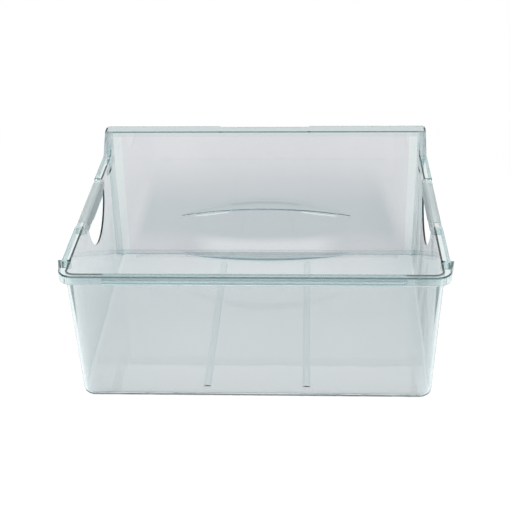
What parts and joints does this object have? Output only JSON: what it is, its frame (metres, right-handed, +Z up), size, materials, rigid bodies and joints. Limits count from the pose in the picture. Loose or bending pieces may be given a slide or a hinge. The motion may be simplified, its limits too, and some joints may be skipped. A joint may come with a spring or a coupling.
{
  "type": "freezer drawer",
  "caption": "Clear plastic freezer drawer: an open-topped tub with hand holes in its sides, a tall front panel with a grip recess, and stops at the rear.",
  "frame": {"origin": "centre of the base, on the surface the drawer stands on", "axes": "+X to the drawer's right when seen from the rear, +Y towards the tall front panel, the way the drawer is pulled out, +Z up"},
  "size_m": [0.4524, 0.389, 0.195],
  "materials": {
    "tub_plastic": "clear moulded plastic, polished",
    "panel_plastic": "clear moulded plastic, polished",
    "grip_plastic": "clear moulded plastic, finely frosted",
    "rail_plastic": "clear moulded plastic, polished"
  },
  "bodies": {
    "root": {"tub": "tub_plastic", "front_panel": "panel_plastic", "left_grip": "grip_plastic", "right_grip": "grip_plastic", "rear_rail": "rail_plastic"}
  },
  "joints": []
}
